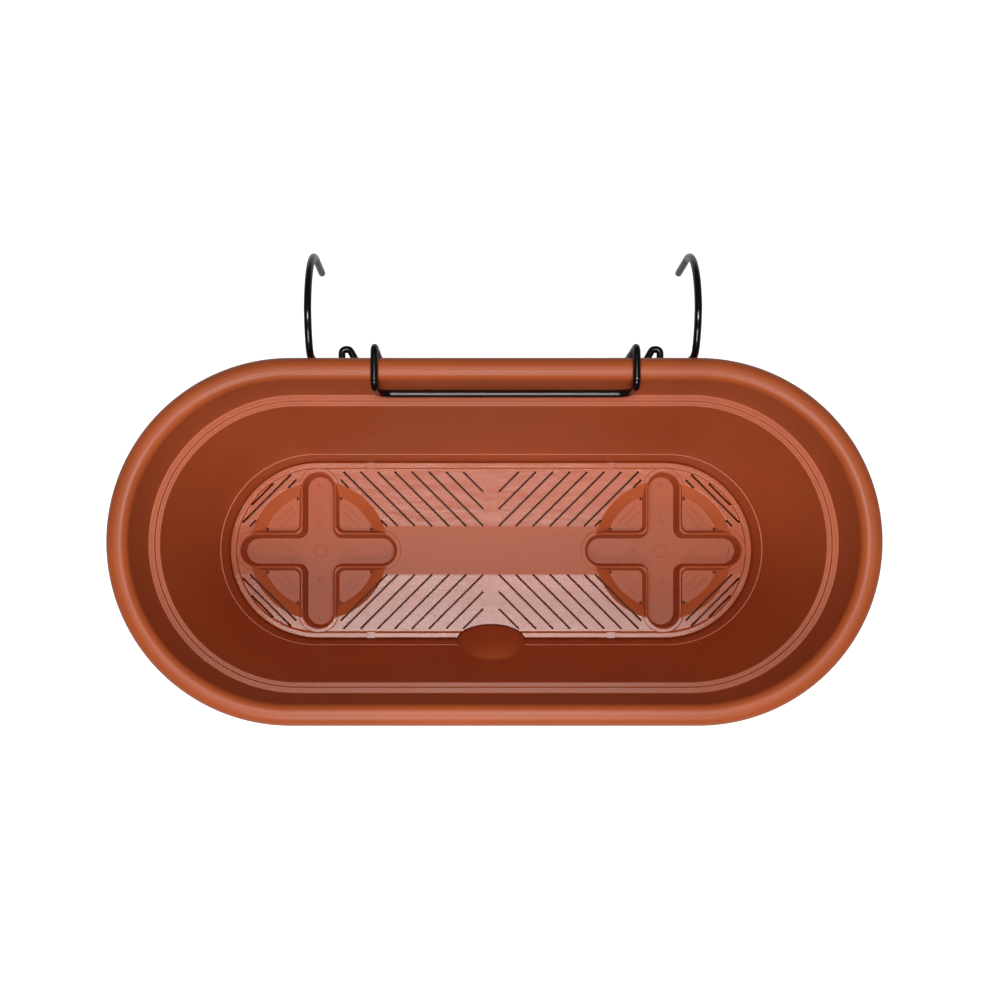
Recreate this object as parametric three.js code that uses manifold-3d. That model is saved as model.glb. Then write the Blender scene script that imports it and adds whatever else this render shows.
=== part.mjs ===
// Self watering planter: a long pot with round ends, a slotted false bottom that stands on two
// cross shaped wells above the water, and a bent wire hanger that grips the back of the rim.
// Millimetres, +Z up. The origin is the middle of the pot's underside, +X runs along the pot and
// +Y points to the back, where the hanger and the railing are.
import * as THREE from 'three';
import { mergeVertices } from 'three/addons/utils/BufferGeometryUtils.js';
import Module from 'manifold-3d';

const wasm = await Module();
wasm.setup();

// ---- driving dimensions ----
const straightLength = 315.4; // straight run that every level of the pot shares
const rimWidth = 284.6; // across the rim, front to back
const potHeight = 218;
const wall = 2.6; // pot wall
const floorThickness = 3;
const touchGap = 0.3; // between two pieces that rest on each other

const rim = {
  band: 17.9, // from the outer edge to the inner wall
  outerRound: 9,
  innerRound: 7,
  skirt: 1.5, // straight lip below the outer round
};
const ledge = {
  depth: 50, // below the rim top
  upperTread: 5.1,
  lowerTread: 4,
  riser: 2.5,
  riserLean: 0.3, // the riser's foot lies this far inside its head
  upperDraft: 5.5, // degrees, wall above the ledge
};
const lowerWall = {
  draft: 11.77, // degrees
  lineHeight: 45, // height of the small step above the underside
  lineTread: 1,
  floorRound: 5,
  baseRound: 3,
};
const niche = {
  halfWidth: 30.5,
  depth: 14, // how far it stands into the pot
  centreHeight: 30,
  above: 66,
  below: 26,
  holeDiameter: 8,
  holeDrop: 5, // from the underside of the false bottom to the hole's centre
};
const grid = {
  top: 25, // height of the plate's upper face
  thickness: 2.4,
  clearance: 0.6, // to the pot wall, all round
  lipWidth: 5.5,
  lipHeight: 2,
  edgeLean: 0.4, // the plate's lower edge lies this far inside its upper one
  notchWidth: 7.4,
  notchSpacing: 219.4,
};
const well = {
  tipMargin: 9.3, // from the tip of a well to the edge of the plate
  armWidth: 28.8, // at the opening
  cornerRound: 6,
  draft: 6.4, // degrees
  wall: 2,
  holeDiameter: 4,
  holeInset: 7, // from the tip of the well floor to the hole's centre
  collar: 0.9, // height of the collar round the opening
};
const pocket = {
  tipOverlap: 8.2, // the wells reach this far past the pocket
  depth: 8,
  slopeWidth: 9.5,
  sideSkin: 1, // the underside's slope stands this far outside the upper one
  drainSize: 4.2,
  drainInset: 4, // from the pocket floor's corner to the drain hole's centre
  drainGap: 3.4, // from the side of a well to the drain hole's centre
};
const slot = {
  width: 1.9,
  pitch: 11.05, // square to the slots
  first: 58, // from the middle of a well to the innermost slot
  second: 65,
  outerEnd: 72.5, // the extra slot near the round ends
  bandInner: 21.9, // clear strip on each side of the middle line
  edgeMargin: 8.4, // from the slots to the edge of the plate
  endReach: 2, // the slots at the round ends come this much nearer to the edge
  bridge: 14, // closed strip across the middle
  wellMargin: 5.8, // from the side of a well's arm to the slots
  pocketMargin: 0.6,
  shortest: 5,
};
const wire = {
  diameter: 5.8,
  shiftX: 6.5, // the hanger sits a little to one side
  clipHalfSpacing: 101.5,
  hookHalfSpacing: 150.3,
  edgeClearance: 1, // behind the edge of the rim
  barDepth: 33, // centre of the cross bar below the rim top
  barInset: 0.6, // between the cross bar and the wall
  clipStand: 7, // centre of the clip's rear leg behind the edge of the rim
  footDepth: 72, // below the rim top
  footX: 126, // half spacing of the two stand-off bends
  footReach: 18.5, // behind the edge of the rim
  footHalfWidth: 4.5,
  hookRadius: 55,
  hookCentre: 35, // centre of the hook behind the edge of the rim
  hookTopDrop: 3.5, // centre of the hook's top below the rim top
  hookLegEnd: 100, // lower end of the hook's outer leg below the rim top
  hookLegLean: 2, // the leg's lower end lies this far in front of its upper one
  hookLegBend: 53.9,
  hookShoulder: 9.3, // corner above the shoulder, in front of the hook's centre
  hookShoulderRise: 0.4,
  shankDrop: 17, // upper corner of the shank below the rim top
  shankBend: 14,
  bend: 7, // usual bend radius of the wire
};

// ---- derived sizes ----
const halfStraight = straightLength / 2;
const radians = THREE.MathUtils.degToRad;
const slope = (degrees) => Math.tan(radians(degrees));
const rimHalf = rimWidth / 2;
const openingHalf = rimHalf - rim.band;
const ledgeHeight = potHeight - ledge.depth;
const ledgeHalf = openingHalf - (ledge.depth - rim.innerRound) * slope(ledge.upperDraft);
const midHalf = ledgeHalf - ledge.upperTread;
const lowerLedgeHeight = ledgeHeight - ledge.riser;
const lowerHalf = midHalf - ledge.lowerTread;
const lineHalf = lowerHalf - (lowerLedgeHeight - lowerWall.lineHeight) * slope(lowerWall.draft);
const footHalf = lineHalf - lowerWall.lineTread;
const wallLineHalf = (z) => lineHalf - (lowerWall.lineHeight - z) * slope(lowerWall.draft);
const wallHalfBelowLine = (z) => footHalf - (lowerWall.lineHeight - z) * slope(lowerWall.draft);
const floorHalf = wallHalfBelowLine(floorThickness);
const gridHalf = wallHalfBelowLine(grid.top) - grid.clearance;
const wellReach = gridHalf - well.tipMargin;
const wellBottom = floorThickness + touchGap;
const wellFloor = wellBottom + well.wall;
const wellShrink = (grid.top - wellFloor) * slope(well.draft);
const pocketOuter = wellReach - pocket.tipOverlap;
const pocketInner = pocketOuter - pocket.slopeWidth;

// ---- materials ----
const terracotta = new THREE.MeshStandardMaterial({ color: 0xb0542f, roughness: 0.42, metalness: 0 });
const terracottaInsert = new THREE.MeshStandardMaterial({ color: 0xc0613c, roughness: 0.3, metalness: 0 });
const blackWire = new THREE.MeshStandardMaterial({ color: 0x0b0b0c, roughness: 0.25, metalness: 0.1 });

// ---- solids ----
const endSegments = 20; // per round end of the pot
const tipSegments = 12; // per round tip of a well
const wireSides = 8;
const wireStep = 4.5; // along the wire
const bendStep = 15; // degrees, along a bend
const throughCut = 60; // length of a cutter that passes right through a wall

function toManifold(geometry) {
  const bare = geometry.clone();
  bare.deleteAttribute('normal');
  bare.deleteAttribute('uv');
  const merged = mergeVertices(bare, 1e-4);
  return new wasm.Manifold(new wasm.Mesh({
    numProp: 3,
    vertProperties: new Float32Array(merged.attributes.position.array),
    triVerts: new Uint32Array(merged.index.array),
  }));
}

function toGeometry(solid) {
  const mesh = solid.getMesh();
  const geometry = new THREE.BufferGeometry();
  geometry.setAttribute('position', new THREE.BufferAttribute(mesh.vertProperties, 3));
  geometry.setIndex(new THREE.BufferAttribute(mesh.triVerts, 1));
  geometry.computeVertexNormals();
  return geometry;
}

const cutAll = (body, cutters) => cutters.reduce((rest, cutter) => rest.subtract(cutter), body);

// Outline with two round ends, anticlockwise, at one height.
function stadiumRing(half, z) {
  const ring = [];
  for (const side of [1, -1]) {
    const start = -side * (Math.PI / 2);
    for (let i = 0; i <= endSegments; i += 1) {
      const angle = start + (Math.PI * i) / endSegments;
      ring.push(new THREE.Vector3(side * halfStraight + half * Math.cos(angle), half * Math.sin(angle), z));
    }
  }
  return ring;
}

// A closed body through rings of equal length, capped at its first and last ring. The first ring is
// the underside's or the outside's, so that the faces point out.
function loft(rings) {
  const count = rings[0].length;
  const vertices = rings.flat();
  const capCentre = (ring) => ring.reduce((sum, p) => sum.add(p), new THREE.Vector3()).divideScalar(count);
  const firstCentre = vertices.push(capCentre(rings[0])) - 1;
  const lastCentre = vertices.push(capCentre(rings[rings.length - 1])) - 1;
  const index = [];
  for (let i = 0; i < count; i += 1) {
    const next = (i + 1) % count;
    for (let r = 0; r + 1 < rings.length; r += 1) {
      const a = r * count;
      const b = a + count;
      index.push(a + i, a + next, b + next, a + i, b + next, b + i);
    }
    const top = (rings.length - 1) * count;
    index.push(firstCentre, next, i);
    index.push(lastCentre, top + i, top + next);
  }
  const geometry = new THREE.BufferGeometry();
  const positions = vertices.flatMap((p) => [p.x, p.y, p.z]);
  geometry.setAttribute('position', new THREE.Float32BufferAttribute(positions, 3));
  geometry.setIndex(index);
  return toManifold(geometry);
}

// Points of a quarter turn from one angle to another, as [half width, height] pairs.
function roundCorner(centreHalf, centreZ, radius, from, to, segments) {
  const points = [];
  for (let i = 0; i <= segments; i += 1) {
    const angle = radians(from + ((to - from) * i) / segments);
    points.push([centreHalf + radius * Math.cos(angle), centreZ + radius * Math.sin(angle)]);
  }
  return points;
}

// The overflow niche's round body, tilted like the wall and drawn in by the given amount.
function nicheBody(shrink) {
  const segments = 28;
  const upper = new THREE.SphereGeometry(1, segments, segments);
  const position = upper.attributes.position;
  for (let i = 0; i < position.count; i += 1) {
    const rise = position.getZ(i) > 0 ? niche.above : niche.below;
    position.setXYZ(
      i,
      position.getX(i) * (niche.halfWidth - shrink),
      position.getY(i) * (niche.depth - shrink),
      position.getZ(i) * (rise - shrink),
    );
  }
  upper.rotateX(radians(lowerWall.draft));
  upper.translate(0, -wallLineHalf(niche.centreHeight), niche.centreHeight);
  return toManifold(upper);
}

function plantingPot() {
  const top = potHeight;
  const roundHalf = rimHalf - rim.outerRound;
  const skirtTop = top - rim.outerRound;
  const skirtBottom = skirtTop - rim.skirt;
  const baseHalf = floorHalf + wall - slope(lowerWall.draft) * floorThickness;
  const underLedge = lowerLedgeHeight - wall;
  const outerWall = [
    ...roundCorner(baseHalf - lowerWall.baseRound, lowerWall.baseRound, lowerWall.baseRound, -90, 0, 3),
    [footHalf + wall, lowerWall.lineHeight - wall],
    [lineHalf + wall, lowerWall.lineHeight],
    [lowerHalf + wall, underLedge],
    [ledgeHalf + wall, ledgeHeight - wall],
  ];
  const rimSection = [
    [openingHalf + wall, skirtTop],
    ...roundCorner(openingHalf + rim.innerRound, top - rim.innerRound, rim.innerRound - wall, 165, 90, 2),
    ...roundCorner(roundHalf, skirtTop, rim.outerRound - wall, 90, 0, 4),
    [rimHalf - wall, skirtBottom],
    [rimHalf, skirtBottom],
    ...roundCorner(roundHalf, skirtTop, rim.outerRound, 0, 90, 6),
    ...roundCorner(openingHalf + rim.innerRound, top - rim.innerRound, rim.innerRound, 90, 180, 5),
  ];
  const innerWall = [
    [ledgeHalf, ledgeHeight],
    [midHalf, ledgeHeight],
    [midHalf - ledge.riserLean, lowerLedgeHeight],
    [lowerHalf, lowerLedgeHeight],
    [lineHalf, lowerWall.lineHeight],
    [footHalf, lowerWall.lineHeight],
    ...roundCorner(
      wallHalfBelowLine(floorThickness + lowerWall.floorRound) - lowerWall.floorRound,
      floorThickness + lowerWall.floorRound,
      lowerWall.floorRound,
      0,
      -90,
      4,
    ),
  ];
  const ringsOf = (points) => points.map(([half, z]) => stadiumRing(half, z));
  const shell = loft(ringsOf([...outerWall, ...rimSection, ...innerWall]));
  const solidPot = loft(ringsOf(outerWall));
  const bulge = nicheBody(0).intersect(solidPot);
  const drill = new THREE.CylinderGeometry(niche.holeDiameter / 2, niche.holeDiameter / 2, throughCut, 20);
  drill.translate(0, -lineHalf, grid.top - grid.thickness - niche.holeDrop);
  return shell.add(bulge).subtract(nicheBody(wall)).subtract(toManifold(drill));
}

// Outline of a cross with four round tipped arms, anticlockwise, centred on (centreX, 0).
function crossRing(centreX, reach, armHalf, corner, z) {
  const ring = [];
  for (let arm = 0; arm < 4; arm += 1) {
    const turn = (arm * Math.PI) / 2;
    const put = (x, y) => ring.push(new THREE.Vector3(
      centreX + x * Math.cos(turn) - y * Math.sin(turn),
      x * Math.sin(turn) + y * Math.cos(turn),
      z,
    ));
    for (let i = 0; i <= tipSegments; i += 1) {
      const angle = Math.PI * (-0.5 + i / tipSegments);
      put(reach - armHalf + armHalf * Math.cos(angle), armHalf * Math.sin(angle));
    }
    const cornerSegments = 4;
    for (let i = 0; i <= cornerSegments; i += 1) {
      const angle = -Math.PI / 2 - (Math.PI / 2) * (i / cornerSegments);
      put(armHalf + corner + corner * Math.cos(angle), armHalf + corner + corner * Math.sin(angle));
    }
  }
  return ring;
}

// A cross shaped body between two heights, drawn in towards its foot.
function crossBody(centreX, grow, low, high) {
  const ringAt = (z) => {
    const inset = (grid.top - z) * slope(well.draft) - grow;
    return crossRing(centreX, wellReach - inset, well.armWidth / 2 - inset, well.cornerRound + inset, z);
  };
  return loft([ringAt(low), ringAt(high)]);
}

// A round cone frustum about the middle of a well.
function disc(centreX, radiusLow, radiusHigh, low, high) {
  const segments = 40;
  const geometry = new THREE.CylinderGeometry(radiusHigh, radiusLow, high - low, segments);
  geometry.rotateX(Math.PI / 2);
  geometry.translate(centreX, 0, (low + high) / 2);
  return toManifold(geometry);
}

// Ends of the stretch of a slot line that lies inside the given limits, measured along the line.
function slotStretches(distance, limits) {
  const steps = 600;
  const reach = halfStraight;
  const stretches = [];
  let start = null;
  for (let i = 0; i <= steps; i += 1) {
    const along = -reach + (2 * reach * i) / steps;
    const x = (distance - along) / Math.SQRT2;
    const y = (distance + along) / Math.SQRT2;
    const inside = i < steps && limits(x, y);
    if (inside && start === null) {
      start = along;
    }
    if (!inside && start !== null) {
      if (along - start > slot.shortest) {
        stretches.push([start, along]);
      }
      start = null;
    }
  }
  return stretches;
}

// One slot, given from the middle of its well: sideX and sideY are the signs of its quarter.
function slotCutter(centreX, sideX, sideY, distance, [from, to]) {
  const box = new THREE.BoxGeometry(to - from, slot.width, throughCut);
  const mid = (from + to) / 2;
  box.rotateZ(-sideX * sideY * (Math.PI / 4));
  box.translate(
    centreX + (sideX * (distance - mid)) / Math.SQRT2,
    (sideY * (distance + mid)) / Math.SQRT2,
    grid.top,
  );
  return toManifold(box);
}

// Every drainage slot: the slots of each quarter round a well run at 45 degrees.
function slotCutters() {
  const cutters = [];
  const outerY = gridHalf - slot.edgeMargin;
  const armClear = well.armWidth / 2 + slot.wellMargin;
  const rounded = (x, y) => Math.hypot(x, y) > pocketOuter + slot.pocketMargin;
  const nearMiddle = (x, y) => rounded(x, y) && x > armClear && x < halfStraight - slot.bridge / 2
    && y > slot.bandInner && y < outerY;
  const nearEnd = (x, y) => rounded(x, y) && x > armClear && y > slot.bandInner
    && Math.hypot(x, y) < outerY + slot.endReach;
  const middleDistances = [slot.first];
  for (let d = slot.second; d < straightLength; d += slot.pitch) {
    middleDistances.push(d);
  }
  for (const end of [-1, 1]) {
    for (const sideY of [-1, 1]) {
      for (const distance of middleDistances) {
        for (const stretch of slotStretches(distance, nearMiddle)) {
          cutters.push(slotCutter(end * halfStraight, -end, sideY, distance, stretch));
        }
      }
      for (const distance of [slot.first, slot.second, slot.outerEnd]) {
        for (const stretch of slotStretches(distance, nearEnd)) {
          cutters.push(slotCutter(end * halfStraight, end, sideY, distance, stretch));
        }
      }
    }
  }
  return cutters;
}

// The same upright hole for each of a well's four arms, given for the arm that points along +X.
function holesInArms(centreX, x, y, diameter, sides) {
  const holes = [];
  for (let arm = 0; arm < 4; arm += 1) {
    const hole = new THREE.CylinderGeometry(diameter / 2, diameter / 2, throughCut, sides);
    hole.rotateX(Math.PI / 2);
    hole.translate(x, y, wellFloor);
    hole.rotateZ((arm * Math.PI) / 2);
    hole.translate(centreX, 0, 0);
    holes.push(toManifold(hole));
  }
  return holes;
}

// The false bottom's plate with its two round pockets.
function waterGrid() {
  const low = grid.top - grid.thickness;
  const high = grid.top + grid.lipHeight;
  const plate = loft([stadiumRing(gridHalf - grid.edgeLean, low), stadiumRing(gridHalf, high)]);
  const trayHalf = gridHalf - grid.lipWidth;
  const tray = loft([stadiumRing(trayHalf, grid.top), stadiumRing(trayHalf, grid.top + throughCut)]);
  let body = plate.subtract(tray);
  for (const centreX of [-halfStraight, halfStraight]) {
    const pocketFloor = grid.top - pocket.depth;
    const side = pocket.sideSkin;
    const underFloor = pocketFloor - grid.thickness;
    const underDish = disc(centreX, pocketInner + side, pocketOuter + side, underFloor, low);
    const dish = disc(centreX, pocketInner, pocketOuter, pocketFloor, grid.top);
    body = body.add(underDish).subtract(dish);
    body = body.subtract(crossBody(centreX, well.wall + touchGap, 0, grid.top + well.collar));
  }
  const cutters = slotCutters();
  const bump = new THREE.CylinderGeometry(1, 1, throughCut, 48);
  bump.rotateX(Math.PI / 2);
  bump.scale(niche.halfWidth + grid.clearance, niche.depth + grid.clearance, 1);
  bump.translate(0, -wallLineHalf(grid.top), grid.top);
  cutters.push(toManifold(bump));
  for (const x of [-grid.notchSpacing / 2, grid.notchSpacing / 2]) {
    for (const side of [-1, 1]) {
      const notch = new THREE.BoxGeometry(grid.notchWidth, grid.lipWidth * 2, grid.lipHeight * 2);
      notch.translate(x, side * gridHalf, grid.top + grid.lipHeight);
      cutters.push(toManifold(notch));
    }
  }
  const wellSide = well.armWidth / 2 + well.wall;
  const drainReach = Math.sqrt(pocketInner ** 2 - wellSide ** 2) - pocket.drainInset;
  const drainSide = wellSide + pocket.drainGap;
  for (const centreX of [-halfStraight, halfStraight]) {
    for (const side of [-1, 1]) {
      cutters.push(...holesInArms(centreX, drainReach, side * drainSide, pocket.drainSize, 3));
    }
  }
  return cutAll(body, cutters);
}

// One cross shaped well with a water hole near the tip of each arm.
function crossWell(centreX) {
  const cup = crossBody(centreX, well.wall, wellBottom, grid.top + well.collar);
  const hollow = crossBody(centreX, 0, wellFloor, grid.top + 2 * well.collar);
  const holeReach = wellReach - wellShrink - well.holeInset;
  return cutAll(cup, [hollow, ...holesInArms(centreX, holeReach, 0, well.holeDiameter, 16)]);
}

// A path through the given corners, each rounded to its own bend radius by a run of short chords.
function bentPath(corners) {
  const path = new THREE.CurvePath();
  let from = corners[0].at;
  for (let i = 1; i + 1 < corners.length; i += 1) {
    const { at, bend } = corners[i];
    const back = corners[i - 1].at.clone().sub(at).normalize();
    const ahead = corners[i + 1].at.clone().sub(at).normalize();
    const half = back.angleTo(ahead) / 2;
    const setback = bend / Math.tan(half);
    const enter = at.clone().addScaledVector(back, setback);
    const leave = at.clone().addScaledVector(ahead, setback);
    const centre = at.clone().addScaledVector(back.clone().add(ahead).normalize(), bend / Math.sin(half));
    path.add(new THREE.LineCurve3(from, enter));
    const turn = Math.PI - 2 * half;
    const steps = Math.max(2, Math.ceil(turn / radians(bendStep)));
    const a = enter.clone().sub(centre);
    const b = leave.clone().sub(centre);
    let last = enter;
    for (let s = 1; s <= steps; s += 1) {
      const t = (turn * s) / steps;
      const arm = a.clone().multiplyScalar(Math.sin(turn - t)).addScaledVector(b, Math.sin(t));
      const next = centre.clone().add(arm.divideScalar(Math.sin(turn)));
      path.add(new THREE.LineCurve3(last, next));
      last = next;
    }
    from = last;
  }
  path.add(new THREE.LineCurve3(from, corners[corners.length - 1].at));
  return path;
}

// Corners of one half of the hanger, from the tip of its hook to the end of the cross bar.
function hangerHalf(side) {
  const radius = wire.diameter / 2;
  const edge = rimHalf;
  const at = (x, y, down) => new THREE.Vector3(wire.shiftX + side * x, y, potHeight - down);
  const shankY = edge + radius + wire.edgeClearance;
  const hookCentre = edge + wire.hookCentre;
  const hookX = wire.hookHalfSpacing;
  const corners = [];
  const put = (point, bend) => corners.push({ at: point, bend });
  const top = wire.hookTopDrop;
  const legY = hookCentre + wire.hookRadius;
  put(at(hookX, legY - wire.hookLegLean, wire.hookLegEnd), 0);
  put(at(hookX, legY, top), wire.hookLegBend);
  put(at(hookX, hookCentre - wire.hookShoulder, top - wire.hookShoulderRise), wire.hookRadius);
  put(at(hookX, shankY, wire.shankDrop), wire.shankBend);
  put(at(hookX, shankY, wire.footDepth), wire.bend);
  put(at(wire.footX + wire.footHalfWidth, shankY, wire.footDepth), wire.bend);
  put(at(wire.footX + wire.footHalfWidth, edge + wire.footReach, wire.footDepth), wire.footHalfWidth);
  put(at(wire.footX - wire.footHalfWidth, edge + wire.footReach, wire.footDepth), wire.footHalfWidth);
  put(at(wire.clipHalfSpacing, edge + wire.clipStand, wire.footDepth), wire.bend);
  put(at(wire.clipHalfSpacing, edge + wire.clipStand, -radius - touchGap), wire.bend);
  const barHalf = openingHalf - (wire.barDepth - rim.innerRound) * slope(ledge.upperDraft);
  const barY = barHalf - radius - wire.barInset;
  put(at(wire.clipHalfSpacing, barY, -radius - touchGap), wire.bend);
  put(at(wire.clipHalfSpacing, barY, wire.barDepth), wire.bend);
  return corners;
}

function railHanger() {
  const path = bentPath([...hangerHalf(-1), ...hangerHalf(1).reverse()]);
  const section = new THREE.Shape(
    new THREE.EllipseCurve(0, 0, wire.diameter / 2, wire.diameter / 2).getPoints(wireSides).slice(1),
  );
  const geometry = new THREE.ExtrudeGeometry(section, {
    steps: Math.ceil(path.getLength() / wireStep),
    bevelEnabled: false,
    extrudePath: path,
  });
  return toManifold(geometry);
}

// ---- assembly ----
const group = new THREE.Group();
function addPiece(name, solid, material) {
  const mesh = new THREE.Mesh(toGeometry(solid), material);
  mesh.name = name;
  group.add(mesh);
}

// The pot is one moulding. It is cut into its floor, its two straight sides and its two round ends,
// so that each of them keeps close to its own shape when it is filled for collision.
const pot = plantingPot();
const aboveFloor = pot.trimByPlane([0, 0, 1], floorThickness + touchGap);
const endStart = halfStraight + touchGap / 2;
const sideEnd = halfStraight - touchGap / 2;
const sides = aboveFloor.trimByPlane([1, 0, 0], -sideEnd).trimByPlane([-1, 0, 0], -sideEnd);
addPiece('pot_floor', pot.trimByPlane([0, 0, -1], -floorThickness), terracotta);
addPiece('pot_front_side', sides.trimByPlane([0, -1, 0], 0), terracotta);
addPiece('pot_back_side', sides.trimByPlane([0, 1, 0], 0), terracotta);
addPiece('pot_left_end', aboveFloor.trimByPlane([-1, 0, 0], endStart), terracotta);
addPiece('pot_right_end', aboveFloor.trimByPlane([1, 0, 0], endStart), terracotta);
addPiece('water_grid', waterGrid(), terracottaInsert);
addPiece('left_well', crossWell(-halfStraight), terracottaInsert);
addPiece('right_well', crossWell(halfStraight), terracottaInsert);
addPiece('rail_hanger', railHanger(), blackWire);

export default group;
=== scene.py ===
"""Self watering planter: the finish of the pot, the slotted false bottom and the wire hanger.

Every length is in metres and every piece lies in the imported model's own frame: +X runs along the
pot, +Y points to the back and the origin is the middle of the pot's underside.
"""

import math

import bpy
import numpy as np
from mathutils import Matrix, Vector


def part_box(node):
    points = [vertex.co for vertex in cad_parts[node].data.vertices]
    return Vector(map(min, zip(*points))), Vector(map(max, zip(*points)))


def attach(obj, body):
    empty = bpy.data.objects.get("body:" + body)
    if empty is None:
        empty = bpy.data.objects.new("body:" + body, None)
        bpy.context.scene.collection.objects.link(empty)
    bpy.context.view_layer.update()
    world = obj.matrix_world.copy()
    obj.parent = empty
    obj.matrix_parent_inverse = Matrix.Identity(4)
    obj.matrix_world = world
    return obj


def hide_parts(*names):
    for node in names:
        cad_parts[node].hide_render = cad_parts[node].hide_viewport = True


bl_info = {
    "name": "Self watering planter",
    "version": (1, 0, 0),
    "blender": (4, 5, 0),
    "location": "3D View > Sidebar > Planter",
    "description": "Builds a long self watering planter around its packed frame",
    "category": "Object",
}

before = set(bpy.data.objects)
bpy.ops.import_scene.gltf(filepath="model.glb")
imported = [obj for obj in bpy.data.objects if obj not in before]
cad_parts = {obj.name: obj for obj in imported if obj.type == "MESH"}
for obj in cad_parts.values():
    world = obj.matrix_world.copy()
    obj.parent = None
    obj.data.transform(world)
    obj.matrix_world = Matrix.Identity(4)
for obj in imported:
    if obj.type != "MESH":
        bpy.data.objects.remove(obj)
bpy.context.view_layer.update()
MM = 0.001

# Steps in a round end of the pot and of the false bottom, and points along a straight side.
END_STEPS = 80
GRID_END_STEPS = 96
SIDE_POINTS = 26

# Length of a cutting body that has to pass right through a wall or the plate.
THROUGH = 30 * MM

POT_NODES = ("pot_floor", "pot_front_side", "pot_back_side", "pot_left_end", "pot_right_end")
GRID_NODES = ("water_grid", "left_well", "right_well")
WIRE_NODE = "rail_hanger"


def box_of(nodes):
    """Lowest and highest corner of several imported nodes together."""
    boxes = [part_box(node) for node in nodes]
    low = np.min([list(box[0]) for box in boxes], axis=0)
    high = np.max([list(box[1]) for box in boxes], axis=0)
    return low, high


POT_LOW, POT_HIGH = box_of(POT_NODES)
GRID_LOW, GRID_HIGH = box_of(GRID_NODES)
WIRE_LOW, WIRE_HIGH = box_of([WIRE_NODE])


# ---------------------------------------------------------------- sizes and colours

def length(name, description, default_mm):
    """A length property; its default is given in millimetres."""
    return bpy.props.FloatProperty(
        name=name, description=description, default=default_mm * MM, min=0, unit="LENGTH", precision=4
    )


def angle(name, description, default_degrees):
    """An angle property; its default is given in degrees."""
    return bpy.props.FloatProperty(
        name=name, description=description, default=math.radians(default_degrees), unit="ROTATION"
    )


def colour(name, description, default):
    """A colour property in linear red, green and blue."""
    return bpy.props.FloatVectorProperty(
        name=name, description=description, default=default, size=3, min=0, max=1, subtype="COLOR"
    )


class PotSizes(bpy.types.PropertyGroup):
    """Section of the pot's wall, from the rim to the floor."""

    wall: length("Wall", "Thickness of the wall", 2.6)
    floor: length("Floor", "Thickness of the floor", 3)
    rim_band: length("Rim band", "From the rim's outer edge to the inner wall", 17.9)
    rim_outer_round: length("Outer round", "Radius of the rim's outer edge", 9)
    rim_inner_round: length("Inner round", "Radius of the rim's inner edge", 7)
    rim_skirt: length("Skirt", "Straight lip under the rim's outer round", 1.5)
    ledge_depth: length("Ledge depth", "From the rim's top to the ledge", 50)
    upper_tread: length("Upper tread", "Width of the ledge's upper step", 5.1)
    lower_tread: length("Lower tread", "Width of the ledge's lower step", 4)
    riser: length("Riser", "Height between the two steps", 2.5)
    upper_draft: angle("Upper draft", "Lean of the wall above the ledge", 5.5)
    lower_draft: angle("Lower draft", "Lean of the wall below the ledge", 11.77)
    line_height: length("Line height", "Height of the small step above the false bottom", 45)
    line_tread: length("Line tread", "Width of the small step above the false bottom", 1)
    floor_round: length("Floor round", "Radius between wall and floor", 5)
    base_round: length("Base round", "Radius of the lower outer edge", 3)
    niche_half_width: length("Niche half width", "Half width of the overflow niche", 30.5)
    niche_depth: length("Niche depth", "How far the niche stands into the pot", 14)
    niche_centre: length("Niche centre", "Height of the niche's deepest point", 30)
    niche_above: length("Niche above", "Reach of the niche above its deepest point", 66)
    niche_below: length("Niche below", "Reach of the niche below its deepest point", 26)
    overflow_diameter: length("Overflow hole", "Diameter of the overflow hole", 8)
    overflow_drop: length("Overflow drop", "From the false bottom to the hole's centre", 5)


class GridSizes(bpy.types.PropertyGroup):
    """The slotted false bottom and its two wells."""

    thickness: length("Thickness", "Thickness of the plate", 2.4)
    lip_width: length("Lip width", "Width of the raised border", 5.5)
    lip_height: length("Lip height", "Height of the raised border above the plate", 2)
    notch_width: length("Notch width", "Width of the notches in the border", 7.4)
    notch_spacing: length("Notch spacing", "Distance between the notches", 219.4)
    clearance: length("Clearance", "From the border to the pot's wall", 0.6)
    tip_margin: length("Tip margin", "From a well's tip to the edge of the plate", 9.3)
    arm_width: length("Arm width", "Width of a well's arm at the opening", 28.8)
    corner_round: length("Corner round", "Radius between two arms", 6)
    well_draft: angle("Well draft", "Lean of the well's walls", 6.4)
    well_wall: length("Well wall", "Thickness of the well's walls", 2)
    well_hole: length("Well hole", "Diameter of the holes in the well's floor", 4)
    well_hole_inset: length("Hole inset", "From the well floor's tip to the hole", 7)
    pocket_overlap: length("Pocket overlap", "How far a well's tip passes the round pocket", 8.2)
    pocket_depth: length("Pocket depth", "Depth of the round pocket", 8)
    pocket_slope: length("Pocket slope", "Width of the pocket's sloping wall", 9.5)
    slot_width: length("Slot width", "Width of a drainage slot", 1.9)
    slot_pitch: length("Slot pitch", "Distance between slots, square to them", 11.05)
    slot_first: length("First slot", "From a well's middle to its innermost slot", 59.9)
    slot_second: length("Second slot", "From a well's middle to the next slot", 66.9)
    slot_end: length("End slot", "From a well's middle to the extra slot near the round end", 72.5)
    slot_band: length("Slot band", "Clear strip on each side of the middle line", 21.9)
    slot_edge: length("Slot edge", "From the slots to the edge of the plate", 8.4)
    slot_bridge: length("Slot bridge", "Closed strip across the middle", 14)
    slot_well: length("Slot to well", "From a well's arm to the slots", 5.8)


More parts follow.
